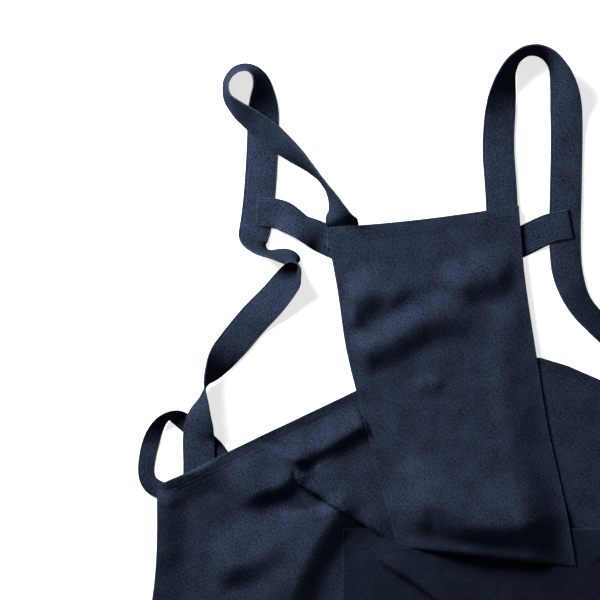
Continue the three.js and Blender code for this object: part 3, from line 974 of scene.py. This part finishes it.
BIB_FOLDS = [
    Fold([(-74, 270), (-56, 306), (-30, 324), (2, 314), (24, 296)], 12, 42, 38, 0, 2, (0.15, 0.3)),
    Fold([(52, 314), (84, 333), (125, 344), (150, 346)], 13.5, 38, 38, 0, 2, (0.3, 0.3)),
    Fold(
        [(-60, 238), (-12, 256), (14, 273), (32, 287), (62, 289), (104, 270)],
        14.5, 34, 36, 0, 2, (0.12, 0.35),
    ),
    Fold([(20, 194), (38, 207), (58, 200)], 4, 14, 24, 0, 2, (0.3, 0.3)),
    Fold(
        [(8, 16), (18, 44), (34, 61), (62, 49), (82, 38), (126, 33), (190, 40), (230, 30)],
        21, 62, 38, 0, 2, (0.12, 0.2),
    ),
    Fold([(150, 330), (120, 220), (150, 110)], 5, 34, 28),
]
BIB_LENGTH, BIB_WIDTH = 410 * MM, 228 * MM  # about, for turning shares into distances
TUCK_TOP = 78 * MM  # how far up under the bib the tuck reaches
TUCK_Z = 4.4 * MM
ROLL = 10 * MM  # how far up the bib the roll at the fold reaches
FOLD_RISE = 14  # how much the middle of the waist fold puffs up, in millimetres
bib_base = Heights(["bib_panel"])


def bib_plan(u, v):
    """Plan points for shares across and up the bib. Its curved ends fade out towards each other."""
    left, right = along(BIB["left"], v), along(BIB["right"], v)
    p = left * (1 - u[..., None]) + right * u[..., None]
    for edge, ends, share in (("top", -1, v), ("bottom", 0, 1 - v)):
        straight = BIB["left"][ends] * (1 - u[..., None]) + BIB["right"][ends] * u[..., None]
        p = p + (along(BIB[edge], u) - straight) * share[..., None] ** 3
    return p


def waist_crown(u, up):
    """How the bib bulges behind the waist fold and puffs up in its middle, in millimetres."""
    bulge = 6 * smooth(up / (45 * MM)) * (1 - smooth((up - 80 * MM) / (120 * MM)))
    bulge -= 7 * (1 - smooth((up - 8 * MM) / (45 * MM)))
    middle = smooth((u - 0.02) / 0.42) * smooth((1 - u) / 0.3)
    return bulge + FOLD_RISE * middle * (1 - smooth(up / (60 * MM)))


def bib_height(x, y, u, v):
    """The top of the bib's cloth and its folds' lean. The side edges lie down on what is beneath."""
    up, top = v * BIB_LENGTH, (1 - v) * BIB_LENGTH
    rise, dx, dy = fold_all(BIB_FOLDS, FOLD_LEFT, x, y)
    edge = faced_edge(x, y, top, 0.7, (9 * MM, 22 * MM), 61)
    free = smooth((up - 4 * MM) / (28 * MM)) * (0.35 + 0.65 * smooth((top - 4 * MM) / (30 * MM)))
    z = bib_base(x, y) + (waist_crown(u, up) + edge) * MM + (rise + 1.1 * cloth_noise(x, y, 71)) * free
    floor = cloth_surface(x, y)[0] + CLOTH + 0.6 * MM
    over_tuck = 7.5 * MM * (1 - smooth((up - 60 * MM) / (40 * MM)))
    lying = soft_max(floor + 0.3 * MM, over_tuck, 2 * MM)
    reach = (65 - 47 * smooth((up - 130 * MM) / (80 * MM))) * MM
    z = lying + (z - lying) * smooth(np.minimum(u, 1 - u) * BIB_WIDTH / reach)
    return soft_max(z, floor, 2 * MM), dx, dy


def bib_surface_at(u, v):
    """Points on the bib's top for shares across and up it."""
    p = bib_plan(u, v)
    z, dx, dy = bib_height(p[..., 0], p[..., 1], u, v)
    return np.stack([p[..., 0] + dx, p[..., 1] + dy, z], -1)


def bib_roll(u, first):
    """Rows that turn under at the waist, up to the first row of the bib's face."""
    middle, half_height = (first[:, 2] + TUCK_Z) / 2, (first[:, 2] - TUCK_Z) / 2
    rows = []
    for phase in np.linspace(math.pi, 0, 9)[:-1]:
        up = ROLL * (1 - math.sin(phase))
        plan = bib_plan(u, np.full(u.shape, up / BIB_LENGTH))
        rows.append(np.column_stack([plan, middle + half_height * math.cos(phase)]))
    return rows


def bib_tuck(u):
    """Rows of the slack doubled under the bib, from its upper end down to the roll."""
    rows = []
    for up in steps(TUCK_TOP, (ROLL, 5 * MM))[:-1]:
        plan = bib_plan(u * 0.94 + 0.03, np.full(u.shape, up / BIB_LENGTH))
        x, y = plan.T
        wave = 0.8 * MM * gradient_noise(x / (30 * MM), y / (30 * MM), 83)
        beneath = cloth_surface(x, y)[0] + 1.9 * MM
        rows.append(np.column_stack([plan, np.maximum(TUCK_Z - 0.4 * MM + wave, beneath)]))
    return rows


def bib_bend(obj):
    """Bakes the bib's placement into its mesh; the bib, with the tuck under it, stays where it lies."""
    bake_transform(obj)


def bib():
    near = EDGE_ROWS[:7]
    half = np.concatenate([near, steps(9 * MM, (BIB_WIDTH / 2, 3 * MM))]) / BIB_WIDTH
    u = np.concatenate([half, 1 - half[-2::-1]])
    body = steps(ROLL, (BIB_LENGTH - EDGE_REACH, 3 * MM))[:-1]
    v = np.concatenate([body / BIB_LENGTH, 1 - EDGE_ROWS[::-1] / BIB_LENGTH])
    uu, vv = np.meshgrid(u, v)
    face = bib_surface_at(uu, vv)
    under = bib_tuck(u) + bib_roll(u, face[0])
    points = np.concatenate([np.array(under), face])
    distance = travelled(points[:, len(u) // 2])
    uv = np.stack([points[..., 0], distance[:, None] + 0 * points[..., 0]], -1)
    inset = np.minimum(np.minimum(uu, 1 - uu) * BIB_WIDTH, (1 - vv) * BIB_LENGTH)
    # Paler along the bib's edges and fold crests: partly real wear, partly painted highlight.
    face_wear_and_highlight = np.clip(edge_wear_and_crest_highlight(inset, face[..., 2], edge_width=1.3 * MM), 0, 1)
    wear_and_highlight = np.vstack([np.full((len(under), len(u)), 0.05), face_wear_and_highlight])
    obj = shell("bib_cloth", points, np.full(wear_and_highlight.shape, CLOTH), uv, [TWILL, REVERSE], wear_and_highlight)
    facings = ("bib_top_facing", "bib_left_facing", "bib_right_facing")
    placed(obj, bib_bend, "twill", "bib_panel", "waist_tuck", *facings)


def bib_stitches():
    u = np.linspace(0.006, 0.994, 160)
    v = np.full(u.shape, 1 - STITCH_INSET / BIB_LENGTH)
    points = bib_surface_at(u, v)
    beside = bib_surface_at(u, v + 0.002)
    normals = unit(np.cross(np.gradient(points, axis=0), beside - points))
    stitches("bib_hem_stitches", [(points + normals * THREAD_LIFT, normals)], bib_bend, "bib_hem_thread")


bib()
bib_stitches()


# ---- straps, crosspiece and ties

STRAP_WIDTH, STRAP_THICKNESS = 40 * MM, 2.4 * MM
CROSSPIECE_WIDTH, CROSSPIECE_THICKNESS = 36 * MM, 1.8 * MM
TIE_WIDTH, TIE_THICKNESS = 22 * MM, 1.3 * MM


def stitched_rows(path, across, width, thickness, seed, waves):
    """Stitch rows at offsets across a band, on both of its faces."""
    rows = []
    for offset in across:
        middle = ribbon_points(path, np.array([offset]), width, seed, waves)[:, 0]
        for face in (1, -1):
            normal = path["normal"] * face
            rows.append((middle + normal * (thickness / 2 * 0.64 + 0.1 * MM), normal))
    return rows


def band(name, path, width, thickness, seed, place, node, waves=1.0):
    """A stitched band and its two edge rows."""
    cloth = ribbon(name, path, width, thickness, seed, waves)
    placed(cloth, place, "strap_cloth", node)
    edge = width / 2 - STRAP_STITCH_INSET
    rows = stitched_rows(path, (-edge, edge), width, thickness, seed, waves)
    stitches(name + "_stitches", rows, place)


def strap(side, start_near, seed):
    """A shoulder strap, cut between bib and wing into two bands: the front run, which goes to the bib, and
    the tail, which goes to the wing."""
    names = [f"{side}_strap_front_run", f"{side}_strap_back_run"]
    path = path_of(names, start_near)
    cut = path["cut"]
    front, back = part_of(path, 0, cut), part_of(path, cut, path["distance"][-1])
    at = Vector(back["centre"][0])
    at.z = 0

    def on_bib(obj):
        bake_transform(obj)

    def on_wing(obj):
        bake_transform(obj)

    band(f"{side}_shoulder_strap", front, STRAP_WIDTH, STRAP_THICKNESS, seed, on_bib, names[0])
    band(f"{side}_strap_tail", back, STRAP_WIDTH, STRAP_THICKNESS, seed, on_wing, names[1])


strap("left", BIB["left"][-1], 101)
strap("right", BIB["right"][-1], 131)


def crosspiece(seed, waves=0.6):
    """A band with its lower layer showing along one edge, and two stitch rows across it at each end."""
    low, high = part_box("crosspiece")
    path = path_of(["crosspiece"], (low.x, high.y))
    width, thickness = CROSSPIECE_WIDTH, CROSSPIECE_THICKNESS
    band("crosspiece_band", path, width, thickness, seed, riding("bib"), "crosspiece", waves)
    shift = path["side"] * 1.5 * MM - path["normal"] * CLOTH
    lower_path = dict(path, centre=path["centre"] + shift)
    lower = ribbon("crosspiece_lower_layer", lower_path, width, CLOTH, seed, waves)
    placed(lower, riding("bib"), "strap_cloth")
    offsets = np.linspace(-width / 2 + 3 * MM, width / 2 - 3 * MM, 25)
    middle = ribbon_points(path, offsets, width, seed, waves)
    distance, insets = path["distance"], MM * np.array([6, 15])
    for end, places in (("left", insets), ("right", distance[-1] - insets)):
        rows = []
        for at in places:
            k = int(np.argmin(np.abs(distance - at)))
            normal = np.tile(path["normal"][k], (len(offsets), 1))
            rows.append((middle[k] + normal * (thickness * 0.6), normal))
        stitches(f"crosspiece_{end}_stitches", rows, riding("bib"), f"crosspiece_{end}_thread")


def tie(side, start_near, seed):
    name = f"{side}_waist_tie"
    path = path_of([name], start_near)
    band(f"{name}_band", path, TIE_WIDTH, TIE_THICKNESS, seed, riding(f"{side}_tie"), name, 0.5)


crosspiece(151)
tie("left", LEFT_WING["left"][-1], 171)
tie("right", RIGHT_WING["right"][-1], 181)


# ---- studio

LIGHTS = {  # place, width, power
    "key": ((-1.1, 1.2, 0.78), 0.7, 62),
    "fill": ((-0.3, 0.5, 2.8), 1.6, 1.0),
    "low": ((1.3, -1.3, 0.35), 0.9, 4.5),
}
LIT_POINT = Vector((-0.2, 0.2, 0))
TABLE_SIZE, TABLE_Z = 30, -0.2 * MM
CAMERA_PLACE = (-0.25, 0.3125, 3.0)
CAMERA_SEES = 0.75  # the width seen on the table


def studio():
    bpy.ops.mesh.primitive_plane_add(size=TABLE_SIZE, location=(0, 0, TABLE_Z))
    table = bpy.context.object
    table.name = "table"
    table.data.materials.append(table_material())
    table.visible_diffuse = table.visible_glossy = False
    world = bpy.data.worlds.new("studio")
    world.use_nodes = True
    background = world.node_tree.nodes["Background"].inputs
    background["Color"].default_value = (1, 0.9, 1, 1)
    background["Strength"].default_value = 0.04
    bpy.context.scene.world = world
    for name, (place, size, power) in LIGHTS.items():
        light = bpy.data.lights.new(name, "AREA")
        light.size, light.energy = size, power
        obj = bpy.data.objects.new(name, light)
        obj.location = place
        obj.rotation_euler = (Vector(place) - LIT_POINT).to_track_quat("Z", "Y").to_euler()
        bpy.context.scene.collection.objects.link(obj)
    bpy.context.scene.view_settings.view_transform = "Standard"


def camera():
    """Straight above the bib's left side, up the picture being up the bib."""
    lens = bpy.data.cameras.new("camera")
    lens.angle = 2 * math.atan(CAMERA_SEES / 2 / CAMERA_PLACE[2])
    obj = bpy.data.objects.new("camera", lens)
    obj.location = CAMERA_PLACE
    bpy.context.scene.collection.objects.link(obj)
    bpy.context.scene.camera = obj


studio()
camera()
bpy.context.view_layer.update()
